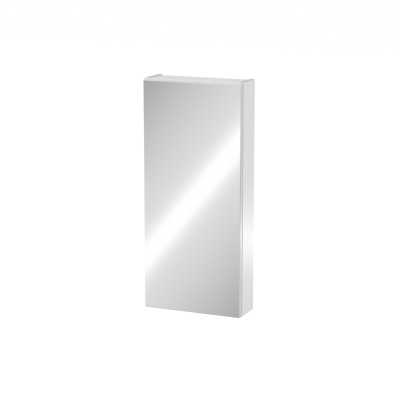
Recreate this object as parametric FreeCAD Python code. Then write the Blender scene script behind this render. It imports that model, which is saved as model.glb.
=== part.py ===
import FreeCAD, Part
import math
import os

from FreeCAD import Vector

# Wall-hung bathroom mirror cabinet, in millimetres. +Z is up, +X to the right seen from the front and
# +Y into the wall. The origin is on the wall plane, in the middle of the wall plates' screw holes.

# Whole cabinet
overall_width = 400.0
overall_height = 900.0
overall_depth = 140.0
hang_drop = 75.0  # cabinet's top above the middle of the wall plates' screw holes

# Boards of the carcass
board = 16.0
edge_band = 1.0
band_round = 0.8
panel_inset = 4.0  # top and bottom panels inside the ends of the sides
back_thickness = 3.0
back_recess = 18.0  # wall plane to the back panel's rear face
groove_depth = 6.0
groove_play = 0.1
seat_play = 0.05  # glued or pressed pieces in their holes

# Door
door_gap = 3.0  # door's back to the carcass's front edges
door_reveal = 1.0  # door inside the carcass's outline, each edge
mirror_thickness = 4.0
mirror_arris = 1.2
mirror_top_margin = 7.0  # strip of door board left bare above the mirror
tape_thickness = 1.0
tape_width = 30.0
tape_margin = 20.0
tape_count = 4
bumper_radius = 4.5
bumper_play = 0.3
bumper_from_end = 40.0

# Cam locks and dowels that hold the boards together
cam_radius = 7.5
cam_depth = 12.5
cam_from_end = 24.0
cam_slot_width = 2.4
cam_slot_depth = 2.0
cam_setback = 28.0  # carcass's front edge or back panel to the cam's axis
bolt_radius = 3.0
bolt_in_side = 11.0
bolt_neck_radius = 2.2
bolt_head_radius = 3.4
bolt_head_length = 3.0
bolt_room = 0.6
dowel_radius = 4.0
dowel_length = 30.0
dowel_in_side = 11.0

# Shelves and their supports
shelf_count = 3
shelf_thickness = 5.0
shelf_side_play = 1.0
shelf_front_setback = 8.0
shelf_back_play = 2.0
shelf_corner = 5.0
shelf_arris = 0.5
support_setback = 18.0  # shelf's front or back edge to the support pin
support_pin_radius = 2.5
support_pin_length = 9.0
support_hole_extra = 1.0
support_width = 11.0
support_reach = 9.0
support_plate = 1.5
support_height = 12.0
pad_thickness = 0.8
row_pitch = 32.0  # spare shelf holes above and below each support

# Single-pivot cup hinges
hinge_from_end = 100.0  # door's end to the hinge
cup_radius = 17.5
cup_depth = 12.0
cup_wall = 0.8
cup_corner = 1.6
cup_rim = 1.0
cup_play = 0.1
flange = 1.0
cup_screw_spacing = 48.0
cup_screw_offset = 6.0  # cup's axis to the line of its screws
ear_width = 12.0
cup_screw_radius = 1.75
cup_screw_length = 10.0
cup_screw_head_radius = 3.4
cup_screw_head = 1.6
pin_radius = 1.25
pin_depth = 8.5  # door's back face to the pin
swing_room = 0.5  # door's back corner to the carcass's front edge as it swings
pin_play = 0.05
eye_radius = 2.3
eye_half_length = 4.5
eye_room = 0.28
arm_thickness = 2.0
arm_bend = 2.0
arm_half_width = 9.0
arm_wall = 1.5
arm_wall_drop = 3.4
arm_shoulder = 5.0  # carcass's front edge to where the arm widens
arm_taper = 7.0  # length over which it widens
arm_tail = 18.0  # plate's screw line to the arm's rear end
arm_corner = 3.0
plate_setback = 37.0  # carcass's front edge to the plate's screw line
plate_screw_spacing = 32.0
plate_screw_radius = 3.0
plate_screw_length = 11.0
plate_screw_head_radius = 4.5
plate_screw_head = 1.8
wing_thickness = 2.0
wing_half_width = 6.5
wing_overhang = 7.0  # plate's screw to the wing's end
rail_height = 6.0
rail_front = 19.0
rail_rear = 16.0
rail_play = 0.3
clamp_radius = 2.5
clamp_head_radius = 4.2
clamp_head = 2.0
clamp_slot = 4.0
clamp_from_line = 9.0
adjuster_radius = 2.8
adjuster_from_line = 12.0
adjuster_proud = 0.8

# Push latch on the free side
latch_length = 60.0
latch_width = 20.0
latch_height = 15.0
latch_setback = 2.0
latch_corner = 2.0
collar_radius = 7.0
collar_length = 1.5
plunger_radius = 5.0
plunger_guide = 32.0  # part of the plunger that stays in the housing
plunger_play = 0.08
plunger_travel = 12.0
latch_contact = 0.3  # magnet to the strike plate with the door closed
magnet_radius = 3.8
magnet_thickness = 2.5
latch_tab = 8.0
latch_tab_thickness = 3.0
latch_screw_radius = 1.75
latch_screw_length = 12.0
latch_screw_head_radius = 3.4
latch_screw_head = 1.6
strike_radius = 9.0
strike_thickness = 1.0
strike_screw_radius = 1.75
strike_screw_length = 11.0
strike_screw_head_radius = 3.2

# Adjustable hangers and wall plates
hanger_width = 18.0
hanger_depth = 32.0
hanger_height = 50.0
hanger_wall = 1.5
hanger_corner = 3.0
hanger_play = 0.3  # housing to the back and top panels
spigot_radius = 4.0
spigot_length = 9.0
spigot_spacing = 32.0
hook_thickness = 3.0
hook_height = 8.0
hook_tip = 10.0
hook_tip_thickness = 3.6
hook_room = 0.1  # hook on the wall plate's lip
hook_window = 6.0  # back panel's window round the hook
rivet_radius = 2.0
hanger_screw_radius = 2.5
hanger_screw_head_radius = 4.4
hanger_screw_head = 2.2
hanger_screw_spacing = 22.0
hanger_screw_bite = 4.0
wall_plate_width = 46.0
wall_plate_thickness = 2.0
wall_plate_from_side = 1.5
wall_plate_end = 10.0  # screw hole to the plate's lower end or bend
wall_plate_bend = 6.0
wall_plate_step = 6.0
wall_plate_lip = 12.0
wall_hole_radius = 3.25
wall_hole_spacing = 20.0
wall_gap = 1.5  # hook's tip to the wall

# Places worked out from the sizes above
half_width = overall_width / 2
inner_x = half_width - board
top_z = hang_drop
bottom_z = hang_drop - overall_height
mid_z = (top_z + bottom_z) / 2
carcass_depth = overall_depth - mirror_thickness - tape_thickness - board - door_gap
front_y = -carcass_depth
back_rear_y = -back_recess
back_front_y = back_rear_y - back_thickness
ceiling_z = top_z - panel_inset - board
floor_z = bottom_z + panel_inset + board
panel_mid_z = ceiling_z + board / 2
cam_rows = (front_y + cam_setback, back_front_y - cam_setback)
dowel_y = sum(cam_rows) / 2

door_edge_x = half_width - door_reveal
door_back_y = front_y - door_gap
door_front_y = door_back_y - board
mirror_back_y = door_front_y - tape_thickness
door_top_z = top_z - door_reveal
door_bottom_z = bottom_z + door_reveal
mirror_top_z = door_top_z - mirror_top_margin

compartment = (ceiling_z - floor_z - shelf_count * shelf_thickness) / (shelf_count + 1)
shelf_zs = [floor_z + k * compartment + (k - 1) * shelf_thickness for k in range(1, shelf_count + 1)]
shelf_front_y = front_y + shelf_front_setback
shelf_back_y = back_front_y - shelf_back_play
support_ys = (shelf_front_y + support_setback, shelf_back_y - support_setback)
support_pin_drop = pad_thickness + support_height / 2  # shelf's underside to the pin

# The pin stands so far from the door's edge that the door's back corner just clears the swing.
swing = door_gap - swing_room
pin_x = -door_edge_x + math.sqrt(swing * (swing + 2 * pin_depth))
pin_y = door_back_y - pin_depth
cup_bore = cup_radius - cup_wall
cup_x = pin_x + math.sqrt(cup_bore**2 - eye_half_length**2) - eye_radius - eye_room
cup_screw_x = cup_x + cup_screw_offset
web_left = -inner_x + rail_height
web_right = web_left + arm_thickness
plate_y = front_y + plate_setback
clamp_y = plate_y + clamp_from_line
adjuster_y = plate_y - adjuster_from_line
hinge_zs = {
    "upper": door_top_z - hinge_from_end,
    "middle": shelf_zs[1] + shelf_thickness + compartment / 2,
    "lower": door_bottom_z + hinge_from_end,
}

latch_z = shelf_zs[0] + shelf_thickness + compartment / 2
latch_x = inner_x - latch_height / 2
latch_front_y = front_y + latch_setback
strike_y = door_back_y + strike_thickness
plunger_tip_y = strike_y + latch_contact
plunger_length = plunger_guide + plunger_travel
bumper_thickness = door_gap - bumper_play

hanger_top_z = ceiling_z - hanger_play
hanger_bottom_z = hanger_top_z - hanger_height
hanger_mid_z = (hanger_top_z + hanger_bottom_z) / 2
hanger_x = -inner_x + hanger_width / 2
hanger_rear_y = back_front_y - hanger_play
hanger_front_y = hanger_rear_y - hanger_depth
hook_front_y = hanger_front_y + hanger_wall + hanger_screw_bite
lip_low_z = wall_hole_spacing / 2 + wall_plate_end + wall_plate_bend
lip_top_z = lip_low_z + wall_plate_lip
lip_front_y = -wall_plate_step - wall_plate_thickness
hook_z = lip_top_z + hook_room
wall_plate_x = -inner_x + wall_plate_from_side
wall_hole_x = wall_plate_x + wall_plate_width / 2

X = Vector(1, 0, 0)
Y = Vector(0, 1, 0)
Z = Vector(0, 0, 1)


def block(x0, x1, y0, y1, z0, z1):
    return Part.makeBox(x1 - x0, y1 - y0, z1 - z0, Vector(x0, y0, z0))


def rod(radius, start, direction, length):
    return Part.makeCylinder(radius, length, Vector(*start), direction)


def flip(shape):
    """The same piece on the other side of the cabinet."""
    return shape.mirror(Vector(0, 0, 0), X)


def upend(shape):
    """The same piece at the other end of the cabinet."""
    return shape.mirror(Vector(0, 0, mid_z), Z)


def raised(shape, z):
    return shape.translated(Vector(0, 0, z))


def edges_along(shape, direction):
    """The straight edges that run along a direction."""
    straight = [edge for edge in shape.Edges if isinstance(edge.Curve, Part.Line)]
    return [edge for edge in straight if abs(edge.tangentAt(edge.FirstParameter).dot(direction)) > 0.999]


def rounded(shape, radius, direction):
    return shape.makeFillet(radius, edges_along(shape, direction))


def joined(first, *others):
    return first.fuse(list(others)).removeSplitter()


def countersunk(start, direction, radius, length, head_radius, head):
    """A countersunk screw with its head's face at start."""
    point = Vector(*start)
    cone = Part.makeCone(head_radius, radius, head, point, direction)
    return joined(cone, Part.makeCylinder(radius, length, point, direction))


def pan_head(start, direction, radius, length, head_radius, head):
    """A screw whose head stands on the face at start."""
    point = Vector(*start)
    top = Part.makeCylinder(head_radius, head, point - direction * head, direction)
    rim = [edge for edge in top.Edges if edge.Closed and (edge.CenterOfMass - point).Length > head / 2]
    return joined(top.makeFillet(head / 3, rim), Part.makeCylinder(radius, length, point, direction))


def save(name, *pieces):
    shape = pieces[0] if len(pieces) == 1 else Part.makeCompound(list(pieces))
    shape.exportStep(f"parts/{name}.step")


def common_side_holes():
    """Holes that both side panels have, as drilled in the left one."""
    holes = []
    for y in cam_rows:
        bolt = rod(bolt_radius + seat_play, (-inner_x, y, panel_mid_z), -X, bolt_in_side)
        holes += [bolt, upend(bolt)]
    dowel = rod(dowel_radius + seat_play, (-inner_x, dowel_y, panel_mid_z), -X, dowel_in_side)
    holes += [dowel, upend(dowel)]
    for z in shelf_zs:
        for y in support_ys:
            for step in (-row_pitch, 0, row_pitch):
                start = (-inner_x, y, z - support_pin_drop + step)
                holes.append(
                    rod(support_pin_radius + seat_play, start, -X, support_pin_length + support_hole_extra)
                )
    for z in spigot_zs():
        holes.append(rod(spigot_radius + seat_play, (-inner_x, spigot_y(), z), -X, spigot_length))
    return holes


def spigot_y():
    return (hanger_front_y + hanger_rear_y) / 2


def spigot_zs():
    return (hanger_mid_z - spigot_spacing / 2, hanger_mid_z + spigot_spacing / 2)


def side_panel():
    """Left side as far as both sides are alike: a board with the back panel's groove and shared holes."""
    panel = block(-half_width, -inner_x, front_y + edge_band, 0, bottom_z + edge_band, top_z - edge_band)
    groove = block(
        -inner_x - groove_depth,
        -inner_x,
        back_front_y - groove_play,
        back_rear_y + groove_play,
        floor_z - groove_depth,
        ceiling_z + groove_depth,
    )
    return panel.cut([groove] + common_side_holes())


def left_side_panel():
    holes = []
    for z in hinge_zs.values():
        for step in (-plate_screw_spacing / 2, plate_screw_spacing / 2):
            holes.append(
                rod(plate_screw_radius + seat_play, (-inner_x, plate_y, z + step), -X, plate_screw_length)
            )
    return side_panel().cut(holes)


def right_side_panel():
    holes = []
    for z in latch_screw_zs():
        start = (inner_x, latch_screw_y(), z)
        holes.append(rod(latch_screw_radius + seat_play, start, X, latch_screw_length - latch_tab_thickness))
    return flip(side_panel()).cut(holes)


def top_panel():
    """Board between the sides, grooved and bored underneath. The bottom panel is the same one upended."""
    panel = block(-inner_x, inner_x, front_y + edge_band, 0, ceiling_z, ceiling_z + board)
    cuts = [
        block(
            -inner_x,
            inner_x,
            back_front_y - groove_play,
            back_rear_y + groove_play,
            ceiling_z,
            ceiling_z + groove_depth,
        )
    ]
    end_cuts = [
        rod(
            dowel_radius + seat_play,
            (-inner_x, dowel_y, panel_mid_z),
            X,
            dowel_length - dowel_in_side,
        )
    ]
    for y in cam_rows:
        cam_x = -inner_x + cam_from_end
        end_cuts.append(rod(cam_radius + seat_play, (cam_x, y, ceiling_z), Z, cam_depth))
        end_cuts.append(rod(bolt_head_radius + bolt_room, (-inner_x, y, panel_mid_z), X, cam_from_end))
    return panel.cut(cuts + end_cuts + [flip(cut) for cut in end_cuts])


def back_panel():
    """Thin board in the grooves of all four panels, with a window for each hanger's hook."""
    bite = groove_depth - groove_play
    panel = block(
        -inner_x - bite, inner_x + bite, back_front_y, back_rear_y, floor_z - bite, ceiling_z + bite
    )
    window = block(
        hanger_x - hook_thickness / 2 - hook_window,
        hanger_x + hook_thickness / 2 + hook_window,
        back_front_y,
        back_rear_y,
        hook_z - hook_window,
        hook_z + hook_height + hook_window,
    )
    window = rounded(window, hook_window / 2, Y)
    return panel.cut([window, flip(window)])


def side_front_band():
    band = block(
        -half_width, -inner_x, front_y, front_y + edge_band, bottom_z + edge_band, top_z - edge_band
    )
    outer = [edge for edge in edges_along(band, Z) if edge.CenterOfMass.y < front_y + edge_band / 2]
    return band.makeFillet(band_round, outer)


def side_end_band():
    band = block(-half_width, -inner_x, front_y, 0, top_z - edge_band, top_z)
    outer = [edge for edge in edges_along(band, Y) if edge.CenterOfMass.z > top_z - edge_band / 2]
    return band.makeFillet(band_round, outer)


def panel_front_band():
    return block(-inner_x, inner_x, front_y, front_y + edge_band, ceiling_z, ceiling_z + board)


def cam_disc(y):
    """Cam with a driving slot in its face, hollowed from the side for the bolt's head."""
    cam_x = -inner_x + cam_from_end
    disc = rod(cam_radius, (cam_x, y, ceiling_z), Z, cam_depth)
    slot = block(
        cam_x - cam_radius * 0.6,
        cam_x + cam_radius * 0.6,
        y - cam_slot_width / 2,
        y + cam_slot_width / 2,
        ceiling_z,
        ceiling_z + cam_slot_depth,
    )
    start = (cam_x - cam_radius, y, panel_mid_z)
    reach = rod(bolt_head_radius + seat_play, start, X, cam_radius + bolt_head_length)
    return disc.cut([slot, reach])


def cam_bolt(y):
    """Bolt screwed into the side, with a neck and a head that the cam draws in."""
    start = Vector(-inner_x, y, panel_mid_z)
    thread = Part.makeCylinder(bolt_radius, bolt_in_side, start, -X)
    neck = Part.makeCylinder(bolt_neck_radius, cam_from_end, start, X)
    collar = Part.makeCylinder(bolt_head_radius, cam_from_end - cam_radius, start, X)
    head_start = start + X * (cam_from_end - bolt_head_length / 2)
    head = Part.makeCylinder(bolt_head_radius, bolt_head_length, head_start, X)
    return joined(thread, neck, collar, head)


def dowel():
    pin = rod(dowel_radius, (-inner_x - dowel_in_side, dowel_y, panel_mid_z), X, dowel_length)
    return pin.makeChamfer(dowel_radius / 4, [edge for edge in pin.Edges if edge.Closed])


def four_corners(piece):
    """A corner fitting of the top left, repeated at the other three corners."""
    return [piece, flip(piece), upend(piece), upend(flip(piece))]


def glass_shelf(z):
    """Sheet with rounded corners and a ground arris round both faces."""
    side_x = inner_x - shelf_side_play
    sheet = block(-side_x, side_x, shelf_front_y, shelf_back_y, z, z + shelf_thickness)
    sheet = rounded(sheet, shelf_corner, Z)
    middle = z + shelf_thickness / 2
    rims = [edge for edge in sheet.Edges if abs(edge.CenterOfMass.z - middle) > shelf_thickness / 4]
    return sheet.makeChamfer(shelf_arris, rims)


def shelf_bracket(y, z):
    """Angle under the shelf's edge, with a pin into the left side."""
    top = z - pad_thickness
    ledge = block(
        -inner_x,
        -inner_x + support_reach,
        y - support_width / 2,
        y + support_width / 2,
        top - support_plate,
        top,
    )
    ends = [edge for edge in edges_along(ledge, Z) if edge.CenterOfMass.x > -inner_x + support_reach / 2]
    ledge = ledge.makeFillet(support_width / 3, ends)
    plate = block(
        -inner_x,
        -inner_x + support_plate,
        y - support_width / 2,
        y + support_width / 2,
        top - support_height,
        top,
    )
    start = (-inner_x + support_plate, y, top - support_height / 2)
    pin = rod(support_pin_radius, start, -X, support_pin_length)
    return joined(ledge, plate, pin)


def shelf_pad(y, z):
    reach = support_reach - support_plate
    pad = block(
        -inner_x + shelf_side_play,
        -inner_x + reach,
        y - support_width / 3,
        y + support_width / 3,
        z - pad_thickness,
        z,
    )
    return rounded(pad, support_width / 6, Z)


def door_panel():
    """Board bored for the hinge cups, their screws and the strike plate's screw."""
    board_edge = door_edge_x - edge_band
    panel = block(
        -board_edge,
        board_edge,
        door_front_y,
        door_back_y,
        door_bottom_z + edge_band,
        door_top_z - edge_band,
    )
    cuts = []
    for z in hinge_zs.values():
        cuts.append(rod(cup_radius + cup_play, (cup_x, door_back_y, z), -Y, cup_depth + cup_play))
        cuts += [cup_screw(screw_z, seat_play) for screw_z in cup_screw_zs(z)]
    start = (latch_x, door_back_y, latch_z)
    cuts.append(rod(strike_screw_radius + seat_play, start, -Y, strike_screw_length))
    return panel.cut(cuts)


def door_long_band():
    """Band on the door's free long edge, its two outer corners rounded."""
    band = block(
        door_edge_x - edge_band,
        door_edge_x,
        door_front_y,
        door_back_y,
        door_bottom_z + edge_band,
        door_top_z - edge_band,
    )
    outer = [edge for edge in edges_along(band, Z) if edge.CenterOfMass.x > door_edge_x - edge_band / 2]
    return band.makeFillet(band_round, outer)


def door_short_band():
    band = block(
        -door_edge_x, door_edge_x, door_front_y, door_back_y, door_top_z - edge_band, door_top_z
    )
    outer = [edge for edge in edges_along(band, X) if edge.CenterOfMass.z > door_top_z - edge_band / 2]
    return band.makeFillet(band_round, outer)


def mirror_glass():
    """Silvered sheet with a narrow polished arris round its front."""
    sheet = block(-door_edge_x, door_edge_x, -overall_depth, mirror_back_y, door_bottom_z, mirror_top_z)
    front = [edge for edge in sheet.Edges if abs(edge.CenterOfMass.y + overall_depth) < mirror_arris / 2]
    return sheet.makeChamfer(mirror_arris, front)


def bonding_tapes():
    span = 2 * (door_edge_x - tape_margin) - tape_width
    strips = []
    for k in range(tape_count):
        left = -door_edge_x + tape_margin + k * span / (tape_count - 1)
        strips.append(
            block(
                left,
                left + tape_width,
                mirror_back_y,
                door_front_y,
                door_bottom_z + tape_margin,
                mirror_top_z - tape_margin,
            )
        )
    return strips


def bumper():
    """Clear pad on the door's back, opposite the right side's front edge."""
    start = (half_width - board / 2, door_back_y, door_top_z - bumper_from_end)
    pad = rod(bumper_radius, start, Y, bumper_thickness)
    middle_y = door_back_y + bumper_thickness / 2
    face = [edge for edge in pad.Edges if edge.Closed and edge.CenterOfMass.y > middle_y]
    return pad.makeFillet(bumper_thickness / 2, face)


def cup_screw_zs(z):
    return (z - cup_screw_spacing / 2, z + cup_screw_spacing / 2)


def hinge_cup(z):
    """Pressed cup in the door: rounded bottom, rim and ears on the door's back, pin and screw holes."""
    bottom_y = door_back_y - cup_depth

    def well(radius, start_y, depth, corner):
        shape = rod(radius, (cup_x, start_y, z), -Y, depth)
        low = [edge for edge in shape.Edges if edge.Closed and edge.CenterOfMass.y < start_y - depth / 2]
        return shape.makeFillet(corner, low)

    ear_zs = cup_screw_zs(z)
    flange_y = door_back_y + flange
    outside = well(cup_radius, door_back_y, cup_depth, cup_corner)
    inside = well(cup_bore, flange_y, flange_y - bottom_y - cup_wall, cup_corner - cup_wall)
    rim = rod(cup_radius + cup_rim, (cup_x, door_back_y, z), Y, flange)
    strap = block(
        cup_screw_x - ear_width / 2,
        cup_screw_x + ear_width / 2,
        door_back_y,
        flange_y,
        *ear_zs,
    )
    ears = [rod(ear_width / 2, (cup_screw_x, door_back_y, ear_z), Y, flange) for ear_z in ear_zs]
    body = outside.fuse([rim, strap] + ears).removeSplitter()
    holes = [inside, rod(pin_radius + seat_play, (pin_x, pin_y, z - cup_radius), Z, 2 * cup_radius)]
    for ear_z in ear_zs:
        holes.append(cup_screw(ear_z, seat_play))
    return body.cut(holes)


def cup_screw(z, play=0.0):
    start = (cup_screw_x, door_back_y + flange, z)
    return countersunk(
        start,
        -Y,
        cup_screw_radius + play,
        cup_screw_length,
        cup_screw_head_radius + play,
        cup_screw_head,
    )


def hinge_pin(z):
    """Pin across the cup, its ends dressed flush with the cup's round wall."""
    pin = rod(pin_radius, (pin_x, pin_y, z - cup_radius), Z, 2 * cup_radius)
    return pin.common(rod(cup_radius, (cup_x, door_back_y, z), -Y, cup_depth))


def arm_neck(z):
    """Strip from the pin's eye, bent round the side panel's corner to lie along the panel."""
    half = arm_thickness / 2
    end_y = front_y + arm_shoulder + arm_taper
    outline = [
        (pin_x, pin_y - half),
        (web_right, pin_y - half),
        (web_right, end_y),
        (web_left, end_y),
        (web_left, pin_y + half),
        (pin_x, pin_y + half),
    ]
    points = [Vector(x, y, z - eye_half_length) for x, y in outline]
    neck = Part.Face(Part.makePolygon(points + points[:1])).extrude(Z * 2 * eye_half_length)
    for corner, radius in ((outline[1], arm_bend + arm_thickness), (outline[4], arm_bend)):
        bend = [
            edge
            for edge in edges_along(neck, Z)
            if abs(edge.CenterOfMass.x - corner[0]) + abs(edge.CenterOfMass.y - corner[1]) < half
        ]
        neck = neck.makeFillet(radius, bend)
    return neck


def arm_channel(z):
    """Web that widens from the neck, with a wall along each side of the plate's rail."""
    shoulder_y = front_y + arm_shoulder
    wide_y = shoulder_y + arm_taper
    end_y = plate_y + arm_tail
    half_outline = [(shoulder_y, eye_half_length), (wide_y, arm_half_width), (end_y, arm_half_width)]
    outline = half_outline + [(y, -reach) for y, reach in reversed(half_outline)]
    points = [Vector(web_left, y, z + reach) for y, reach in outline]
    web = Part.Face(Part.makePolygon(points + points[:1])).extrude(X * arm_thickness)
    corners = [edge for edge in edges_along(web, X) if edge.CenterOfMass.y > shoulder_y + arm_taper / 2]
    web = web.makeFillet(arm_corner, corners)
    walls = []
    for low in (z - arm_half_width, z + arm_half_width - arm_wall):
        walls.append(
            block(
                web_left - arm_wall_drop,
                web_left,
                wide_y + arm_corner,
                end_y - arm_corner,
                low,
                low + arm_wall,
            )
        )
    return joined(web, *walls)


def hinge_arm(z):
    """Goose-neck arm: an eye on the pin, a bent neck and a channel that straddles the plate's rail."""
    eye = rod(eye_radius, (pin_x, pin_y, z - eye_half_length), Z, 2 * eye_half_length)
    body = joined(arm_neck(z), eye, arm_channel(z))
    bore = rod(pin_radius + pin_play, (pin_x, pin_y, z - eye_half_length), Z, 2 * eye_half_length)
    reach = clamp_radius + rail_play
    slot_ys = (clamp_y - clamp_slot / 2, clamp_y + clamp_slot / 2)
    slot = block(web_left, web_right, *slot_ys, z - reach, z + reach)
    slot_ends = [rod(reach, (web_left, y, z), X, arm_thickness) for y in slot_ys]
    thread = rod(adjuster_radius + seat_play, (web_left, adjuster_y, z), X, arm_thickness)
    return body.cut([bore, slot, thread] + slot_ends)


def hinge_plate(z):
    """Wings screwed to the side panel, and the rail that the arm's channel straddles."""
    reach = plate_screw_spacing / 2 + wing_overhang
    wings = block(
        -inner_x,
        -inner_x + wing_thickness,
        plate_y - wing_half_width,
        plate_y + wing_half_width,
        z - reach,
        z + reach,
    )
    wings = rounded(wings, wing_half_width * 0.8, X)
    rail_half = arm_half_width - arm_wall - rail_play
    rail = block(
        -inner_x,
        web_left,
        plate_y - rail_front,
        plate_y + rail_rear,
        z - rail_half,
        z + rail_half,
    )
    rail = rounded(rail, rail_half / 2, X)
    holes = [rod(clamp_radius + seat_play, (-inner_x, clamp_y, z), X, rail_height)]
    for step in (-plate_screw_spacing / 2, plate_screw_spacing / 2):
        holes.append(rod(plate_screw_radius + seat_play, (-inner_x, plate_y, z + step), X, wing_thickness))
    return joined(wings, rail).cut(holes)


def plate_screws(z):
    screws = []
    for step in (-plate_screw_spacing / 2, plate_screw_spacing / 2):
        screws.append(
            pan_head(
                (-inner_x + wing_thickness, plate_y, z + step),
                -X,
                plate_screw_radius,
                plate_screw_length,
                plate_screw_head_radius,
                plate_screw_head,
            )
        )
    return screws


def clamp_screw(z):
    length = arm_thickness + rail_height
    return pan_head((web_right, clamp_y, z), -X, clamp_radius, length, clamp_head_radius, clamp_head)


def adjusting_screw(z):
    """Grub screw through the arm, its tip on the rail."""
    return rod(adjuster_radius, (web_left, adjuster_y, z), X, arm_thickness + adjuster_proud)


def latch_screw_y():
    return latch_front_y + latch_length / 2


def latch_screw_zs():
    reach = latch_width / 2 + latch_tab / 2
    return (latch_z - reach, latch_z + reach)


def push_latch_housing():
    """Barrel for the plunger with a collar at its mouth and a screw tab on each side."""
    rear_y = latch_front_y + latch_length
    body = block(
        inner_x - latch_height,
        inner_x,
        latch_front_y,
        rear_y,
        latch_z - latch_width / 2,
        latch_z + latch_width / 2,
    )
    outer = [edge for edge in edges_along(body, Y) if edge.CenterOfMass.x < inner_x - latch_height / 2]
    body = body.makeFillet(latch_corner, outer)
    tab = block(
        inner_x - latch_tab_thickness,
        inner_x,
        latch_screw_y() - latch_tab,
        latch_screw_y() + latch_tab,
        latch_z - latch_width / 2 - latch_tab,
        latch_z + latch_width / 2 + latch_tab,
    )
    tab = rounded(tab, latch_corner, X)
    mouth = (latch_x, latch_front_y - collar_length, latch_z)
    collar = rod(collar_radius, mouth, Y, collar_length)
    bore_length = plunger_tip_y + plunger_length + plunger_play - mouth[1]
    bore = rod(plunger_radius + plunger_play, mouth, Y, bore_length)
    holes = [latch_screw(z, seat_play) for z in latch_screw_zs()]
    return joined(body, collar, tab).cut([bore] + holes)


def latch_screw(z, play=0.0):
    start = (inner_x - latch_tab_thickness, latch_screw_y(), z)
    return countersunk(
        start,
        X,
        latch_screw_radius + play,
        latch_screw_length,
        latch_screw_head_radius + play,
        latch_screw_head,
    )


def push_latch_plunger():
    body = rod(plunger_radius, (latch_x, plunger_tip_y, latch_z), Y, plunger_length)
    pocket = rod(magnet_radius + seat_play, (latch_x, plunger_tip_y, latch_z), Y, magnet_thickness)
    return body.cut(pocket)


def push_latch_magnet():
    return rod(magnet_radius, (latch_x, plunger_tip_y, latch_z), Y, magnet_thickness)


def strike_screw(play=0.0):
    start = (latch_x, strike_y, latch_z)
    return countersunk(
        start,
        -Y,
        strike_screw_radius + play,
        strike_screw_length,
        strike_screw_head_radius + play,
        strike_thickness,
    )


def strike_plate():
    plate = rod(strike_radius, (latch_x, door_back_y, latch_z), Y, strike_thickness)
    return plate.cut(strike_screw(seat_play))


def hanger_screw_zs():
    return (hanger_mid_z - hanger_screw_spacing / 2, hanger_mid_z + hanger_screw_spacing / 2)


def rivet_y():
    return hanger_rear_y - hanger_depth / 4


def hanger_housing():
    """Box in the left top corner, open to the rear, pressed into the side panel by two spigots."""
    shell = block(
        -inner_x,
        -inner_x + hanger_width,
        hanger_front_y,
        hanger_rear_y,
        hanger_bottom_z,
        hanger_top_z,
    )
    front = [edge for edge in shell.Edges if abs(edge.CenterOfMass.y - hanger_front_y) < hanger_wall / 2]
    outer = [edge for edge in front if edge.CenterOfMass.x > -inner_x + hanger_wall]
    shell = shell.makeFillet(hanger_corner, outer)
    hollow = block(
        -inner_x + hanger_wall,
        -inner_x + hanger_width - hanger_wall,
        hanger_front_y + hanger_wall,
        hanger_rear_y,
        hanger_bottom_z + hanger_wall,
        hanger_top_z - hanger_wall,
    )
    spigots = [rod(spigot_radius, (-inner_x, spigot_y(), z), -X, spigot_length) for z in spigot_zs()]
    holes = [hanger_rivet(seat_play)]
    for z in hanger_screw_zs():
        start = (hanger_x, hanger_front_y, z)
        holes.append(rod(hanger_screw_radius + seat_play, start, Y, hanger_wall))
    return joined(shell.cut(hollow), *spigots).cut(holes)


def hanger_rivet(play=0.0):
    return rod(rivet_radius + play, (-inner_x, rivet_y(), hanger_mid_z), X, hanger_width)


def hanger_hook():
    """Steel plate held by the rivet, with a beak that drops behind the wall plate's lip."""
    top = hook_z + hook_height
    low = hanger_bottom_z + 2 * hanger_wall
    neck_y = back_front_y - hook_window / 2
    tip_y = -wall_gap
    outline = [
        (hook_front_y, low),
        (neck_y, low),
        (neck_y, hook_z),
        (tip_y - hook_tip_thickness, hook_z),
        (tip_y - hook_tip_thickness, hook_z - hook_tip),
        (tip_y, hook_z - hook_tip),
        (tip_y, top),
        (hook_front_y, top),
    ]
    points = [Vector(hanger_x - hook_thickness / 2, y, z) for y, z in outline]
    plate = Part.Face(Part.makePolygon(points + points[:1])).extrude(X * hook_thickness)
    nose = [edge for edge in edges_along(plate, X) if edge.CenterOfMass.y > tip_y - hook_tip_thickness / 2]
    plate = plate.makeFillet(hook_tip_thickness / 2.5, nose)
    return plate.cut(hanger_rivet(seat_play))


def hanger_screws():
    screws = []
    for z in hanger_screw_zs():
        screws.append(
            pan_head(
                (hanger_x, hanger_front_y, z),
                Y,
                hanger_screw_radius,
                hanger_wall + hanger_screw_bite,
                hanger_screw_head_radius,
                hanger_screw_head,
            )
        )
    return screws


def wall_plate():
    """Steel strip on the wall, stepped forward at its top into the lip that carries the hook."""
    low = -wall_hole_spacing / 2 - wall_plate_end
    bend_z = wall_hole_spacing / 2 + wall_plate_end
    outline = [
        (0, low),
        (0, bend_z),
        (-wall_plate_step, lip_low_z),
        (-wall_plate_step, lip_top_z),
        (lip_front_y, lip_top_z),
        (lip_front_y, lip_low_z),
        (-wall_plate_thickness, bend_z),
        (-wall_plate_thickness, low),
    ]
    points = [Vector(wall_plate_x, y, z) for y, z in outline]
    plate = Part.Face(Part.makePolygon(points + points[:1])).extrude(X * wall_plate_width)
    ends = [edge for edge in edges_along(plate, Y) if edge.CenterOfMass.z < bend_z]
    plate = plate.makeFillet(wall_plate_end / 2, ends)
    holes = []
    for z in (-wall_hole_spacing / 2, wall_hole_spacing / 2):
        holes.append(rod(wall_hole_radius, (wall_hole_x, -wall_plate_thickness, z), Y, wall_plate_thickness))
    return plate.cut(holes)


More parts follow.
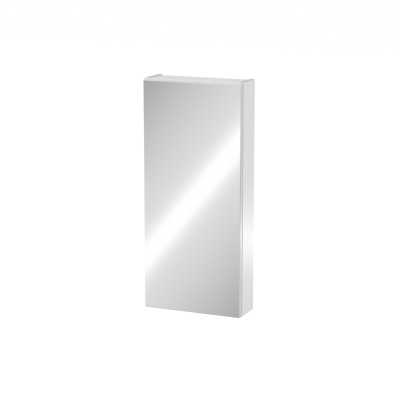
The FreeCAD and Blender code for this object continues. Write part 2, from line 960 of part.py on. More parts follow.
def save_carcass():
    save("left_side_panel", left_side_panel())
    save("right_side_panel", right_side_panel())
    save("top_panel", top_panel())
    save("bottom_panel", upend(top_panel()))
    save("back_panel", back_panel())
    save("side_front_edge_bands", side_front_band(), flip(side_front_band()))
    save("side_end_edge_bands", *four_corners(side_end_band()))
    save("panel_front_edge_bands", panel_front_band(), upend(panel_front_band()))
    save("cam_lock_discs", *[piece for y in cam_rows for piece in four_corners(cam_disc(y))])
    save("cam_lock_bolts", *[piece for y in cam_rows for piece in four_corners(cam_bolt(y))])
    save("corner_dowels", *four_corners(dowel()))


def save_shelves():
    brackets = []
    pads = []
    for name, z in zip(("lower", "middle", "upper"), shelf_zs):
        save(f"{name}_glass_shelf", glass_shelf(z))
        for y in support_ys:
            brackets += [shelf_bracket(y, z), flip(shelf_bracket(y, z))]
            pads += [shelf_pad(y, z), flip(shelf_pad(y, z))]
    save("shelf_support_brackets", *brackets)
    save("shelf_support_pads", *pads)


def save_hangers():
    for name, side in (("left", lambda shape: shape), ("right", flip)):
        save(f"{name}_hanger_housing", side(hanger_housing()))
        save(f"{name}_hanger_hook", side(hanger_hook()))
        save(f"{name}_wall_plate", side(wall_plate()))
    save("hanger_rivets", hanger_rivet(), flip(hanger_rivet()))
    screws = hanger_screws()
    save("hanger_adjusting_screws", *screws, *[flip(screw) for screw in screws])


def save_hinges():
    for name, z in hinge_zs.items():
        save(f"{name}_hinge_cup", hinge_cup(z))
        save(f"{name}_hinge_pin", hinge_pin(z))
        save(f"{name}_hinge_arm", hinge_arm(z))
        save(f"{name}_hinge_plate", hinge_plate(z))
    zs = hinge_zs.values()
    save("hinge_cup_screws", *[cup_screw(ear_z) for z in zs for ear_z in cup_screw_zs(z)])
    save("hinge_plate_screws", *[screw for z in zs for screw in plate_screws(z)])
    save("hinge_clamp_screws", *[clamp_screw(z) for z in zs])
    save("hinge_adjusting_screws", *[adjusting_screw(z) for z in zs])


def save_latch():
    save("push_latch_housing", push_latch_housing())
    save("push_latch_screws", *[latch_screw(z) for z in latch_screw_zs()])
    save("push_latch_plunger", push_latch_plunger())
    save("push_latch_magnet", push_latch_magnet())
    save("latch_strike_plate", strike_plate())
    save("strike_plate_screw", strike_screw())


def save_door():
    save("door_panel", door_panel())
    save("door_long_edge_bands", door_long_band(), flip(door_long_band()))
    save("door_short_edge_bands", door_short_band(), upend(door_short_band()))
    save("mirror_glass", mirror_glass())
    save("mirror_bonding_tapes", *bonding_tapes())
    save("door_bumpers", bumper(), upend(bumper()))


os.makedirs("parts", exist_ok=True)
save_carcass()
save_shelves()
save_hangers()
save_hinges()
save_latch()
save_door()
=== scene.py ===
import math

import bpy
import numpy as np
from mathutils import Matrix, Vector


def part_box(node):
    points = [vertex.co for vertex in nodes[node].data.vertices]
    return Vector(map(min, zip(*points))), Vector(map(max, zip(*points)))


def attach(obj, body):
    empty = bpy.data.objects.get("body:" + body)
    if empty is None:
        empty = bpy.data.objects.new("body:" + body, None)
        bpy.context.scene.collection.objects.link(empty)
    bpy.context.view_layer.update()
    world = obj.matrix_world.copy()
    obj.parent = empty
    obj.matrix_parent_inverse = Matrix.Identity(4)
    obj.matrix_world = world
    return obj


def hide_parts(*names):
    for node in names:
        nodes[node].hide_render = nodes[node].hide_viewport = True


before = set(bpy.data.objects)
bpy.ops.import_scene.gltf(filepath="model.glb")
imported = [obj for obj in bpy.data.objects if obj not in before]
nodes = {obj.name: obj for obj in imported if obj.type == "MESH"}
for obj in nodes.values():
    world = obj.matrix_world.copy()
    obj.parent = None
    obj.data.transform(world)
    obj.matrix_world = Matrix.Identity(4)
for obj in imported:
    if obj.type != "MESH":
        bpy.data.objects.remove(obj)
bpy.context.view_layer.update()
scene = bpy.context.scene
scene.view_settings.view_transform = "Standard"
mm = 0.001
mixShare, mixFirst, mixSecond, mixResult = 0, 6, 7, 2  # a Mix node's sockets when it mixes colours
print("frame loaded:", len(nodes), "nodes")


def linearColour(hexText):
    # sRGB hex to the linear values that Blender's sockets take, by the sRGB curve, and opaque
    values = [int(hexText[k:k + 2], 16) / 255 for k in (1, 3, 5)]
    return [v / 12.92 if v <= 0.04045 else ((v + 0.055) / 1.055) ** 2.4 for v in values] + [1]


def addNode(tree, kind, links=None, **settings):
    # one node with its settings; a link is a value, or another node's output
    node = tree.nodes.new(kind)
    for name, value in settings.items():
        setattr(node, name, value)
    for socket, value in (links or {}).items():
        if isinstance(value, bpy.types.NodeSocket):
            tree.links.new(value, node.inputs[socket])
        else:
            node.inputs[socket].default_value = value
    return node


def newMaterial(name):
    # an empty material, its node tree and its Object coordinates
    material = bpy.data.materials.new(name)
    material.use_nodes = True
    tree = material.node_tree
    tree.nodes.clear()
    return material, tree, addNode(tree, "ShaderNodeTexCoord").outputs["Object"]


def perMetre(sizeMm):
    # a texture's scale for a feature of that real size
    return 1 / (sizeMm * mm)


def spanMm(name, axis):
    # where a node starts and ends along an axis, in mm
    side = "XYZ".index(axis)
    low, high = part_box(name)
    return low[side] / mm, high[side] / mm


def dress(material, *names):
    # one material all over each of the nodes
    for name in names:
        nodes[name].data.materials.clear()
        nodes[name].data.materials.append(material)


# Camera: the photograph's viewing angle.
cameraSettings = {
    "place": (2.0857, -4.8999, 0.7260),
    "yaw": 23.307,
    "pitch": 12.021,
    "lens": 126.0,
    "sensor": 36.0,
    "farthest": 200.0,
}


def makeCamera(settings):
    # looks ahead along yaw and pitch; right is level and up is square to both
    yaw, pitch = math.radians(settings["yaw"]), math.radians(settings["pitch"])
    level = math.cos(pitch)
    ahead = Vector((-math.sin(yaw) * level, math.cos(yaw) * level, -math.sin(pitch)))
    right = ahead.cross(Vector((0, 0, 1))).normalized()
    up = right.cross(ahead)
    data = bpy.data.cameras.new("camera")
    data.lens = settings["lens"]
    data.sensor_width = settings["sensor"]
    data.clip_end = settings["farthest"]
    camera = bpy.data.objects.new("camera", data)
    facing = Matrix((right, up, -ahead)).transposed().to_4x4()
    camera.matrix_world = Matrix.Translation(settings["place"]) @ facing
    scene.collection.objects.link(camera)
    scene.camera = camera


makeCamera(cameraSettings)

# Studio: pale floor far below the cabinet, soft lamps, white surround.
studio = {
    "floorHeight": -4.2,
    "floorReach": 40.0,
    "floorColour": "#CFCFCF",
    "floorLift": 0.67,
    "ambient": 0.63,
    "ambientColour": "#FFFFFF",
    "backgroundStrength": 1.0,
    "lamps": {
        "overheadBox": {"place": (0.6, -2.2, 3.4), "aim": (0, -0.1, -0.3), "size": 3.0, "power": 6},
        "frontBox": {"place": (-2.6, -4.2, 1.2), "aim": (0, -0.1, -0.4), "size": 2.6, "power": 105},
        "rightBox": {"place": (3.6, -1.2, 0.4), "aim": (0.2, -0.1, -0.4), "size": 2.4, "power": 48},
    },
}


def backgroundRay(tree):
    # 1 for rays that see the background: from the camera, in gloss or through glass
    rays = addNode(tree, "ShaderNodeLightPath").outputs
    seen = rays["Is Camera Ray"]
    for kind in ("Is Glossy Ray", "Is Transmission Ray"):
        seen = addNode(tree, "ShaderNodeMath", {0: seen, 1: rays[kind]}, operation="MAXIMUM").outputs[0]
    return seen


def makeWorld(settings):
    # plain light on the object, white where the background is seen
    world = bpy.data.worlds.new("studio")
    scene.world = world
    world.use_nodes = True
    tree = world.node_tree
    tree.nodes.clear()
    strength = addNode(
        tree,
        "ShaderNodeMapRange",
        {
            "Value": backgroundRay(tree),
            "To Min": settings["ambient"],
            "To Max": settings["backgroundStrength"],
        },
    )
    back = addNode(
        tree,
        "ShaderNodeBackground",
        {"Color": linearColour(settings["ambientColour"]), "Strength": strength.outputs[0]},
    )
    addNode(tree, "ShaderNodeOutputWorld", {"Surface": back.outputs[0]})


def stageSheet(name, points, faces, spread):
    # a stage piece from its points and quads; spread places each point on its flat paper, in metres
    mesh = bpy.data.meshes.new(name)
    mesh.from_pydata(points.tolist(), [], faces.tolist())
    corners = spread[faces.ravel()].astype(np.float32)
    mesh.uv_layers.new(name="paper").uv.foreach_set("vector", corners.ravel())
    sheet = bpy.data.objects.new(name, mesh)
    scene.collection.objects.link(sheet)
    return sheet


def flatSheet(name, corner, along, across, paperCorner=(0, 0), paperSense=(1, 1)):
    # one flat sheet: corner plus u times along plus v times across
    share = np.array([(0, 0), (1, 0), (1, 1), (0, 1)], dtype=float)
    points = np.array(corner) + share @ np.array([along, across], dtype=float)
    lengths = np.array([np.linalg.norm(along), np.linalg.norm(across)]) * np.array(paperSense)
    return stageSheet(name, points, np.array([[0, 1, 2, 3]]), np.array(paperCorner) + share * lengths)


def makeFloor(settings):
    # a wide level sheet, lifted to near white for rays that see the background
    reach = settings["floorReach"]
    corner = (-reach, -reach, settings["floorHeight"])
    floor = flatSheet("floor", corner, (2 * reach, 0, 0), (0, 2 * reach, 0))
    material, tree, _ = newMaterial("matt painted floor")  # even and pale, with no sheen
    paint = addNode(tree, "ShaderNodeBsdfDiffuse", {"Color": linearColour(settings["floorColour"])})
    lift = addNode(tree, "ShaderNodeEmission", {"Strength": settings["floorLift"]})
    lifted = addNode(tree, "ShaderNodeAddShader", {0: paint.outputs[0], 1: lift.outputs[0]})
    seen = addNode(
        tree,
        "ShaderNodeMixShader",
        {0: backgroundRay(tree), 1: paint.outputs[0], 2: lifted.outputs[0]},
    )
    addNode(tree, "ShaderNodeOutputMaterial", {"Surface": seen.outputs[0]})
    material.cycles.emission_sampling = "NONE"  # a backdrop, not a lamp
    floor.data.materials.append(material)


def makeLamps(settings):
    # square soft boxes, each turned to its aim
    for name, lamp in settings["lamps"].items():
        data = bpy.data.lights.new(name, "AREA")
        data.size = lamp["size"]
        data.energy = lamp["power"]
        box = bpy.data.objects.new(name, data)
        box.location = lamp["place"]
        facing = Vector(lamp["aim"]) - Vector(lamp["place"])
        box.rotation_euler = facing.to_track_quat("-Z", "Y").to_euler()
        box.visible_glossy = False
        scene.collection.objects.link(box)


# Cards that only gloss sees: a screen round the front and left that glows in bands of painted light and
# painted shade for the mirror to reflect, a strip light behind on the right, and a dark card below, painted
# shade that draws a line along the mirror's lower arris.
mirrorScreen = {
    "front": -3.14,
    "flatHalf": 2.6,
    "bendRadius": 1.8,
    "bendSteps": 13,
    "rightWing": 4.9,
    "footRadius": 0.22,
    "footSteps": 13,
    "floorRun": 3.6,
    "back": 3.5,
    "backRun": 2.0,
    "backTop": 0.3,
    "bottom": -2.1,
    "top": 3.1,
    "bandPoint": (-1.3142, -1.0895),
    "bandNormal": (0.773, -0.634),
    "halfPitch": 0.70,
    "wallFade": (-2.32, -1.85),  # heights on the paper, from plain to banded
    "floorFade": (0.06, 0.34),  # shares of the way in from the oval's rim
    "plainTone": 0.72,
    "tones": (  # share of the half pitch, and the tone there
        (0.0, 1.075), (0.055, 1.062), (0.085, 1.01), (0.12, 0.91), (0.19, 0.80), (0.26, 0.757),
        (0.42, 0.70), (0.60, 0.625), (0.75, 0.557), (0.88, 0.488), (1.0, 0.43),
    ),
}
stripLight = {"corner": (0.55, 2.5, -1.25), "width": 1.3, "height": 0.11, "strength": 9.4}
# a faint card under the cabinet: painted shade that the mirror's lower arris reflects as a dark line
underShadeCard = {"corner": (-1.6, -0.12, -2.06), "width": 2.2, "depth": 0.8, "strength": 0.04}


def glossOnly(card):
    # reflections show the card, and nothing else does
    card.visible_camera = False
    card.visible_diffuse = False
    card.visible_shadow = False
    card.visible_transmission = False


def screenCove(settings):
    # in plan runs and quarter bends, from the back by the left wing and the front to the right wing: the
    # headings add up the turns and the places add up the chords; upright from its top edge down to a foot
    # that rolls inwards by a quarter turn; u runs along the paper from the front's middle and v up it
    quarter = math.pi / 2
    radius, flat, foot = settings["bendRadius"], settings["flatHalf"], settings["footRadius"]
    leftWing = settings["back"] - settings["front"] - 2 * radius
    bend = np.full(settings["bendSteps"], quarter / settings["bendSteps"])
    turns, arcs = [[0]], [[settings["backRun"]]]
    for run in (leftWing, 2 * flat, settings["rightWing"]):
        turns += [bend, [0]]
        arcs += [radius * bend, [run]]
    turns, arcs = np.concatenate(turns), np.concatenate(arcs)
    chords = np.where(turns > 0, 2 * radius * np.sin(turns / 2), arcs)
    heading = np.concatenate([[0], np.cumsum(turns)]) - 2 * quarter
    halfway = (heading[1:] + heading[:-1]) / 2
    x = np.concatenate([[0], np.cumsum(chords * np.cos(halfway))]) + settings["backRun"] - flat
    y = np.concatenate([[0], np.cumsum(chords * np.sin(halfway))]) + settings["back"]
    u = np.concatenate([[0], np.cumsum(arcs)])
    u -= settings["backRun"] + 2 * radius * quarter + leftWing + flat
    top = np.interp(heading, (-2 * quarter, -quarter), (settings["backTop"], settings["top"]))
    roll = np.linspace(0, 1, settings["footSteps"]).reshape(-1, 1)
    inward = np.concatenate([[[0]], foot * (1 - np.cos(roll * quarter))])
    footShape = (len(roll), len(u))
    footHeight = settings["bottom"] + foot * (1 - np.sin(roll * quarter))
    height = np.concatenate([[top], np.broadcast_to(footHeight, footShape)])
    footPaper = settings["bottom"] + foot * (1 - 2 * roll)
    v = np.concatenate([[top], np.broadcast_to(footPaper, footShape)])
    grid = np.broadcast_arrays(x - inward * np.sin(heading), y + inward * np.cos(heading), height)
    spread = np.broadcast_arrays(u, v)
    rows, columns = v.shape
    corner = np.arange(rows - 1).reshape(-1, 1) * columns + np.arange(columns - 1)
    faces = np.stack([corner, corner + columns, corner + columns + 1, corner + 1], axis=-1)
    return stageSheet(
        "mirrorScreen",
        np.stack(grid, axis=-1).reshape(-1, 3),
        faces.reshape(-1, 4),
        np.stack(spread, axis=-1).reshape(-1, 2),
    )


def paintedLightShadeBands(settings):
    # the distance across the diagonal bands, folded back and forth, picks the tone from the ramp; the bands
    # fade to one plain tone down the wall's foot, and on the floor from an oval in its middle outwards; the
    # tones glow as painted light in the bright bands and painted shade in the grey
    # the paper glows with painted light in its bright diagonals and painted shade where they fade to grey
    material, tree, place = newMaterial("screen glowing with painted light and shade")  # bright diagonals fading to grey
    paper = addNode(tree, "ShaderNodeUVMap", uv_map="paper").outputs[0]
    axes = addNode(tree, "ShaderNodeSeparateXYZ", {"Vector": paper}).outputs
    px, pz = settings["bandPoint"]
    nx, nz = settings["bandNormal"]
    start = -(px * nx + pz * nz)
    across = start
    for axis, part in (("X", nx), ("Y", nz)):
        terms = {0: axes[axis], 1: part, 2: across}
        across = addNode(tree, "ShaderNodeMath", terms, operation="MULTIPLY_ADD").outputs[0]
    for operation in ("PINGPONG", "DIVIDE"):
        terms = {0: across, 1: settings["halfPitch"]}
        across = addNode(tree, "ShaderNodeMath", terms, operation=operation).outputs[0]
    ramp = addNode(tree, "ShaderNodeValToRGB", {"Fac": across})
    stops = ramp.color_ramp.elements
    for at, _ in settings["tones"][len(stops):]:
        stops.new(at)
    for stop, (at, tone) in zip(stops, settings["tones"]):
        stop.position = at
        stop.color = (tone, tone, tone, 1)
    halfWidth = settings["flatHalf"] + settings["bendRadius"]
    halfDepth = (settings["back"] - settings["front"]) / 2
    middle = settings["front"] + halfDepth
    oval = addNode(
        tree,
        "ShaderNodeMapping",
        {
            "Vector": place,
            "Location": (0, -middle / halfDepth, 0),
            "Scale": (1 / halfWidth, 1 / halfDepth, 0),
        },
    )
    inOval = addNode(
        tree, "ShaderNodeTexGradient", {"Vector": oval.outputs[0]}, gradient_type="SPHERICAL"
    )
    onWall, onFloor = (
        addNode(
            tree,
            "ShaderNodeMapRange",
            {"Value": value, "From Min": fade[0], "From Max": fade[1]},
            interpolation_type="SMOOTHSTEP",
        ).outputs[0]
        for value, fade in ((axes["Y"], settings["wallFade"]), (inOval.outputs["Fac"], settings["floorFade"]))
    )
    banded = addNode(tree, "ShaderNodeMath", {0: onWall, 1: onFloor}, operation="MAXIMUM")
    shade = addNode(
        tree,
        "ShaderNodeMix",
        {
            mixShare: banded.outputs[0],
            mixFirst: [settings["plainTone"]] * 3 + [1],
            mixSecond: ramp.outputs["Color"],
        },
        data_type="RGBA",
    )
    glow = addNode(tree, "ShaderNodeEmission", {"Color": shade.outputs[mixResult]})
    addNode(tree, "ShaderNodeOutputMaterial", {"Surface": glow.outputs[0]})
    material.cycles.emission_sampling = "NONE"
    return material


def makeScreen(settings):
    # the cove, and flat sheets for the floor inside it, all of one paper glowing with painted light and shade
    reach = settings["flatHalf"] + settings["bendRadius"]
    bottom = settings["bottom"]
    floorEnd = settings["front"] + settings["floorRun"]
    rearWidth = settings["backRun"] + settings["bendRadius"]
    cards = [
        screenCove(settings),
        flatSheet(
            "floorScreen",
            (-reach, settings["front"], bottom),
            (2 * reach, 0, 0),
            (0, settings["floorRun"], 0),
            paperCorner=(-reach, bottom),
            paperSense=(1, -1),
        ),
        flatSheet(
            "rearFloorScreen",
            (-reach, floorEnd, bottom),
            (rearWidth, 0, 0),
            (0, settings["back"] - floorEnd, 0),
            paperCorner=(-reach, bottom - settings["floorRun"]),
            paperSense=(1, -1),
        ),
    ]
    material = paintedLightShadeBands(settings)
    for card in cards:
        card.data.materials.append(material)
        glossOnly(card)


def evenCard(card, strength):
    # one even glow: a strip light when strong, painted shade when faint like the card under the mirror
    material, tree, _ = newMaterial("strip light glow and painted shade card")  # one even tone
    glow = addNode(tree, "ShaderNodeEmission", {"Strength": strength})
    addNode(tree, "ShaderNodeOutputMaterial", {"Surface": glow.outputs[0]})
    card.data.materials.append(material)
    glossOnly(card)


def makeStripLight(settings):
    across, tall = (settings["width"], 0, 0), (0, 0, settings["height"])
    evenCard(flatSheet("stripLight", settings["corner"], across, tall), settings["strength"])


def makeUnderShadeCard(settings):
    # painted shade: a dark card that the mirror's lower arris reflects as a dark line
    across, deep = (settings["width"], 0, 0), (0, settings["depth"], 0)
    evenCard(flatSheet("underShadeCard", settings["corner"], across, deep), settings["strength"])


makeWorld(studio)
makeFloor(studio)
makeLamps(studio)
makeScreen(mirrorScreen)
makeStripLight(stripLight)
makeUnderShadeCard(underShadeCard)
print("studio ready")

# Boards: melamine foil pressed on particle board. The foil gives satin white faces with a soft broad
# highlight and a faint pearl; a cut edge or a drilled hole shows matt brown chips.
foil = {
    "white": "#E4E4E3",
    "whiteShade": "#E0E0E0",
    "mottleMm": 60,
    "pearlMm": 1.2,  # the foil's pearl is nearer 0.2 mm, drawn coarser so that it shows
    "pearlDepthMm": 0.004,
    "roughness": 0.33,
    "ior": 1.5,
    "chipMm": 2.6,
    "chipLight": "#CDB086",
    "chipDark": "#8A6843",
    "chipRoughness": 0.85,
    "skinMm": 0.03,
}


def laminatedBoard(name, board):
    # the foil faces lie where the board starts and ends along its axis; between them is core
    material, tree, place = newMaterial(name)
    along = addNode(tree, "ShaderNodeSeparateXYZ", {"Vector": place}).outputs[board["axis"]]
    if board.get("mirrored"):
        along = addNode(tree, "ShaderNodeMath", {0: along}, operation="ABSOLUTE").outputs[0]
    start, end = spanMm(board["nodes"][0], board["axis"])
    middle = (start + end) / 2 * mm
    inside = ((end - start) / 2 - foil["skinMm"]) * mm
    core = addNode(
        tree, "ShaderNodeMath", {0: along, 1: middle, 2: inside}, operation="COMPARE"
    ).outputs[0]
    mottle = addNode(tree, "ShaderNodeTexNoise", {"Vector": place, "Scale": perMetre(foil["mottleMm"])})
    white = addNode(
        tree,
        "ShaderNodeMix",
        {
            mixShare: mottle.outputs["Fac"],
            mixFirst: linearColour(foil["white"]),
            mixSecond: linearColour(foil["whiteShade"]),
        },
        data_type="RGBA",
    )
    chips = addNode(tree, "ShaderNodeTexVoronoi", {"Vector": place, "Scale": perMetre(foil["chipMm"])})
    chipTone = addNode(tree, "ShaderNodeSeparateColor", {"Color": chips.outputs["Color"]})
    wood = addNode(
        tree,
        "ShaderNodeMix",
        {
            mixShare: chipTone.outputs[0],
            mixFirst: linearColour(foil["chipLight"]),
            mixSecond: linearColour(foil["chipDark"]),
        },
        data_type="RGBA",
    )
    colour = addNode(
        tree,
        "ShaderNodeMix",
        {mixShare: core, mixFirst: white.outputs[mixResult], mixSecond: wood.outputs[mixResult]},
        data_type="RGBA",
    )
    roughness = addNode(
        tree,
        "ShaderNodeMapRange",
        {"Value": core, "To Min": foil["roughness"], "To Max": foil["chipRoughness"]},
    )
    pearl = addNode(tree, "ShaderNodeTexNoise", {"Vector": place, "Scale": perMetre(foil["pearlMm"])})
    bump = addNode(
        tree,
        "ShaderNodeBump",
        {"Height": pearl.outputs["Fac"], "Distance": foil["pearlDepthMm"] * mm},
    )
    skin = addNode(
        tree,
        "ShaderNodeBsdfPrincipled",
        {
            "Base Color": colour.outputs[mixResult],
            "Roughness": roughness.outputs[0],
            "IOR": foil["ior"],
            "Normal": bump.outputs["Normal"],
        },
    )
    addNode(tree, "ShaderNodeOutputMaterial", {"Surface": skin.outputs[0]})
    return material


boards = {
    "sides": {"axis": "X", "nodes": ("right_side_panel", "left_side_panel"), "mirrored": True},
    "top": {"axis": "Z", "nodes": ("top_panel",)},
    "bottom": {"axis": "Z", "nodes": ("bottom_panel",)},
    "door": {"axis": "Y", "nodes": ("door_panel",)},
}
for name, board in boards.items():
    dress(laminatedBoard(f"melamine foil on particle board, {name}", board), *board["nodes"])

# Back: hardboard, painted satin white on its front, bare brown fibre with the press's mesh behind.
hardboard = {
    "white": "#DFDFDD",
    "brownLight": "#9A7A58",
    "brownDark": "#755638",
    "fibreMm": 3.0,
    "fibreDetail": 6.0,
    "meshMm": 1.6,
    "meshDepthMm": 0.03,
    "frontRoughness": 0.45,
    "rearRoughness": 0.75,
}


def paintedHardboard(settings):
    # paint in front of the board's middle, bare fibre behind it
    material, tree, place = newMaterial("painted hardboard")
    depth = addNode(tree, "ShaderNodeSeparateXYZ", {"Vector": place}).outputs["Y"]
    front, back = spanMm("back_panel", "Y")
    middle = (front + back) / 2 * mm
    rear = addNode(tree, "ShaderNodeMath", {0: depth, 1: middle}, operation="GREATER_THAN").outputs[0]
    fibres = addNode(
        tree,
        "ShaderNodeTexNoise",
        {"Vector": place, "Scale": perMetre(settings["fibreMm"]), "Detail": settings["fibreDetail"]},
    )
    brown = addNode(
        tree,
        "ShaderNodeMix",
        {
            mixShare: fibres.outputs["Fac"],
            mixFirst: linearColour(settings["brownLight"]),
            mixSecond: linearColour(settings["brownDark"]),
        },
        data_type="RGBA",
    )
    colour = addNode(
        tree,
        "ShaderNodeMix",
        {mixShare: rear, mixFirst: linearColour(settings["white"]), mixSecond: brown.outputs[mixResult]},
        data_type="RGBA",
    )
    roughness = addNode(
        tree,
        "ShaderNodeMapRange",
        {"Value": rear, "To Min": settings["frontRoughness"], "To Max": settings["rearRoughness"]},
    )
    mesh = addNode(tree, "ShaderNodeTexVoronoi", {"Vector": place, "Scale": perMetre(settings["meshMm"])})
    bump = addNode(
        tree,
        "ShaderNodeBump",
        {"Height": mesh.outputs["Distance"], "Distance": settings["meshDepthMm"] * mm, "Strength": rear},
    )
    skin = addNode(
        tree,
        "ShaderNodeBsdfPrincipled",
        {
            "Base Color": colour.outputs[mixResult],
            "Roughness": roughness.outputs[0],
            "Normal": bump.outputs["Normal"],
        },
    )
    addNode(tree, "ShaderNodeOutputMaterial", {"Surface": skin.outputs[0]})
    return material


dress(paintedHardboard(hardboard), "back_panel")

# Extruded, moulded, plated, cast or turned finishes: two close tones in a mottle, and a fine grain.
noiseDetail = {"mottle": 3.0, "grain": 2.0}


def plainFinish(name, settings):
    # the mottle mixes the two tones; the grain, drawn out where "stretch" is given, sets roughness and bump
    material, tree, place = newMaterial(name)
    mottle = addNode(
        tree,
        "ShaderNodeTexNoise",
        {"Vector": place, "Scale": perMetre(settings["mottleMm"]), "Detail": noiseDetail["mottle"]},
    )
    colour = addNode(
        tree,
        "ShaderNodeMix",
        {
            mixShare: mottle.outputs["Fac"],
            mixFirst: linearColour(settings["light"]),
            mixSecond: linearColour(settings["dark"]),
        },
        data_type="RGBA",
    )
    stretch = addNode(
        tree, "ShaderNodeMapping", {"Vector": place, "Scale": settings.get("stretch", (1, 1, 1))}
    )
    grain = addNode(
        tree,
        "ShaderNodeTexNoise",
        {
            "Vector": stretch.outputs[0],
            "Scale": perMetre(settings["grainMm"]),
            "Detail": noiseDetail["grain"],
        },
    )
    roughness = addNode(
        tree,
        "ShaderNodeMapRange",
        {"Value": grain.outputs["Fac"], "To Min": settings["rough"][0], "To Max": settings["rough"][1]},
    )
    bump = addNode(
        tree,
        "ShaderNodeBump",
        {"Height": grain.outputs["Fac"], "Distance": settings["grainDepthMm"] * mm},
    )
    skin = addNode(
        tree,
        "ShaderNodeBsdfPrincipled",
        {
            "Base Color": colour.outputs[mixResult],
            "Roughness": roughness.outputs[0],
            "Normal": bump.outputs["Normal"],
        },
    )
    for socket, value in settings.get("constants", {}).items():
        skin.inputs[socket].default_value = value
    addNode(tree, "ShaderNodeOutputMaterial", {"Surface": skin.outputs[0]})
    return material


# Grain under about half a millimetre is drawn a little coarser than the real one, so that it shows.
finishes = {
    "white ABS edge band, extruded": {  # clean white with a crisp highlight along its rounded edge
        "light": "#E8E8E7", "dark": "#E5E5E5", "mottleMm": 30, "grainMm": 1.5, "grainDepthMm": 0.003,
        "rough": (0.2, 0.28), "constants": {"IOR": 1.53},
    },
    "grey ABS edge band, extruded": {  # the door's long edge, a shade darker with a softer highlight
        "light": "#D2D2D2", "dark": "#CECECE", "mottleMm": 30, "grainMm": 1.5, "grainDepthMm": 0.002,
        "rough": (0.3, 0.36), "constants": {"IOR": 1.53},
    },
    "grey ABS edge band, matt extruded": {  # the ends of the sides, grey without a highlight
        "light": "#CACACA", "dark": "#C6C6C6", "mottleMm": 30, "grainMm": 1.5, "grainDepthMm": 0.003,
        "rough": (0.45, 0.5), "constants": {"IOR": 1.4},
    },
    "nickel plate on pressed steel": {  # warm bright metal with slightly soft reflections
        "light": "#CFCBC4", "dark": "#C4BFB6", "mottleMm": 12, "grainMm": 0.5, "grainDepthMm": 0.003,
        "rough": (0.2, 0.3), "constants": {"Metallic": 1.0},
    },
    "bright zinc plate on steel": {  # bluish metal, cloudier than nickel
        "light": "#C6C9CE", "dark": "#B4B6B6", "mottleMm": 6, "grainMm": 0.4, "grainDepthMm": 0.004,
        "rough": (0.3, 0.42), "constants": {"Metallic": 1.0},
    },
    "zinc, die cast": {  # dull grey metal with a grainy skin
        "light": "#B4B4B6", "dark": "#9C9DA0", "mottleMm": 2, "grainMm": 0.5, "grainDepthMm": 0.01,
        "rough": (0.42, 0.58), "constants": {"Metallic": 1.0},
    },
    "white nylon, moulded": {  # soft white with a fine spark-eroded texture
        "light": "#E6E6E3", "dark": "#E1E1DE", "mottleMm": 20, "grainMm": 0.7, "grainDepthMm": 0.012,
        "rough": (0.45, 0.55), "constants": {"IOR": 1.53},
    },
    "grey acetal, moulded": {  # waxy light grey, smoother than nylon
        "light": "#BFC1C2", "dark": "#B8BABB", "mottleMm": 15, "grainMm": 0.7, "grainDepthMm": 0.008,
        "rough": (0.35, 0.45), "constants": {"IOR": 1.48},
    },
    "ferrite, sintered": {  # nearly black, matt and finely speckled
        "light": "#3A3A3C", "dark": "#2A2A2C", "mottleMm": 1.2, "grainMm": 0.5, "grainDepthMm": 0.01,
        "rough": (0.55, 0.7),
    },
    "foam tape, cut": {  # matt white with open cells
        "light": "#E6E6E4", "dark": "#DADAD7", "mottleMm": 2, "grainMm": 0.4, "grainDepthMm": 0.05,
        "rough": (0.85, 0.95),
    },
    "beech, turned": {  # pinkish brown wood with its grain along the dowel
        "light": "#C9A574", "dark": "#AF8756", "mottleMm": 4, "grainMm": 1.0, "grainDepthMm": 0.03,
        "stretch": (0.08, 1, 1), "rough": (0.6, 0.7),
    },
    "clear polyurethane, cast": {  # colourless soft drops with a wet shine
        "light": "#F2F5F3", "dark": "#EAEFEC", "mottleMm": 6, "grainMm": 1.0, "grainDepthMm": 0.004,
        "rough": (0.18, 0.28), "constants": {"Transmission Weight": 0.85, "IOR": 1.49},
    },
}
hingePlaces = ("upper", "middle", "lower")
finishNodes = {
    "white ABS edge band, extruded": [
        "side_front_edge_bands", "panel_front_edge_bands", "door_short_edge_bands",
    ],
    "grey ABS edge band, extruded": ["door_long_edge_bands"],
    "grey ABS edge band, matt extruded": ["side_end_edge_bands"],
    "nickel plate on pressed steel": ["shelf_support_brackets"] + [
        f"{place}_hinge_{part}" for place in hingePlaces for part in ("cup", "arm", "plate")
    ],
    "bright zinc plate on steel": [
        "cam_lock_bolts", "hinge_cup_screws", "hinge_plate_screws", "hinge_clamp_screws",
        "hinge_adjusting_screws", "push_latch_screws", "strike_plate_screw", "hanger_adjusting_screws",
        "hanger_rivets", "latch_strike_plate", "left_wall_plate", "right_wall_plate",
        "left_hanger_hook", "right_hanger_hook",
    ] + [f"{place}_hinge_pin" for place in hingePlaces],
    "zinc, die cast": ["cam_lock_discs"],
    "white nylon, moulded": ["left_hanger_housing", "right_hanger_housing"],
    "grey acetal, moulded": ["push_latch_housing", "push_latch_plunger"],
    "ferrite, sintered": ["push_latch_magnet"],
    "foam tape, cut": ["mirror_bonding_tapes"],
    "beech, turned": ["corner_dowels"],
    "clear polyurethane, cast": ["shelf_support_pads", "door_bumpers"],
}
made = {name: plainFinish(name, settings) for name, settings in finishes.items()}
for name, dressed in finishNodes.items():
    dress(made[name], *dressed)

# Mirror: float glass silvered on its back. The face gives a clear bright image, the polished arris a
# thin greener line round it, the ground edge is green-grey glass and the back is grey paint.
mirrorGlass = {
    "silver": "#F8F8F8",
    "silverShade": "#F5F6F5",
    "silverMm": 180,
    "arris": "#F0F4F2",
    "edge": "#A7B2AD",
    "edgeShade": "#B0BAB5",
    "edgeMm": 5,
    "paint": "#8E9496",
    "arrisMm": 1.2,
    "skinMm": 0.02,
    "faceRoughness": 0.0,
    "edgeRoughness": 0.22,
}


